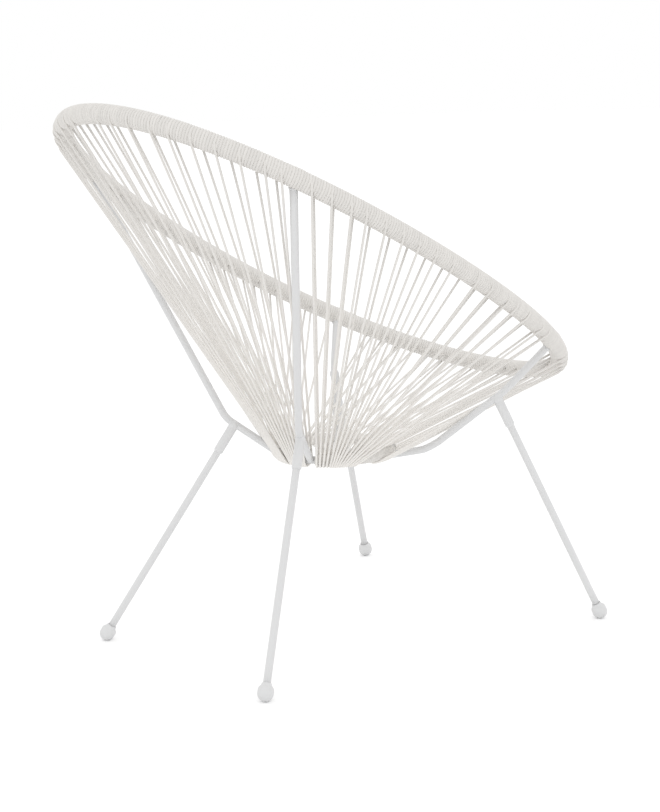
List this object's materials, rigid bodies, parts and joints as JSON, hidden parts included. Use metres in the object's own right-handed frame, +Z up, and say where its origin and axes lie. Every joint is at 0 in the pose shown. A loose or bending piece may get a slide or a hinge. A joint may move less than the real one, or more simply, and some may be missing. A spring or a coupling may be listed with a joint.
{
  "type": "acapulco chair",
  "caption": "Round-backed lounge chair: a leaning oval rim wound in cord, straight cords strung to a small seat ring, and splayed tube legs with bulb feet.",
  "frame": {"origin": "On the floor, under the middle of the chair's box.", "axes": "+Z up, the sitter faces -Y, +X is the sitter's left; X = 0 is the mirror plane."},
  "size_m": [0.6706, 0.8918, 0.8801],
  "materials": {
    "frame": "powder-coated steel, cool very light grey, satin",
    "cord": "smooth plastic cord, warm off-white, satin",
    "cap": "moulded plastic, light grey, slightly satin",
    "steel": "zinc-plated steel, inside the sockets"
  },
  "bodies": {
    "root": {"rim_hoop": "frame", "seat_ring": "frame", "arm_rear_right": "frame", "leg_socket_rear_right": "frame", "socket_stud_rear_right": "steel", "leg_rear_right": "frame", "leg_insert_rear_right": "steel", "foot_cap_rear_right": "cap", "arm_rear_left": "frame", "leg_socket_rear_left": "frame", "socket_stud_rear_left": "steel", "leg_rear_left": "frame", "leg_insert_rear_left": "steel", "foot_cap_rear_left": "cap", "arm_front_right": "frame", "leg_socket_front_right": "frame", "socket_stud_front_right": "steel", "leg_front_right": "frame", "leg_insert_front_right": "steel", "foot_cap_front_right": "cap", "arm_front_left": "frame", "leg_socket_front_left": "frame", "socket_stud_front_left": "steel", "leg_front_left": "frame", "leg_insert_front_left": "steel", "foot_cap_front_left": "cap", "seat_winding_rear": "cord", "seat_winding_left": "cord", "seat_winding_right": "cord", "seat_winding_front": "cord", "lacing_right_1": "cord", "lacing_right_2": "cord", "lacing_right_3": "cord", "lacing_right_4": "cord", "lacing_right_5": "cord", "lacing_right_6": "cord", "lacing_right_7": "cord", "lacing_right_8": "cord", "lacing_right_9": "cord", "lacing_left_1": "cord", "lacing_left_2": "cord", "lacing_left_3": "cord", "lacing_left_4": "cord", "lacing_left_5": "cord", "lacing_left_6": "cord", "lacing_left_7": "cord", "lacing_left_8": "cord", "lacing_left_9": "cord"}
  },
  "joints": []
}
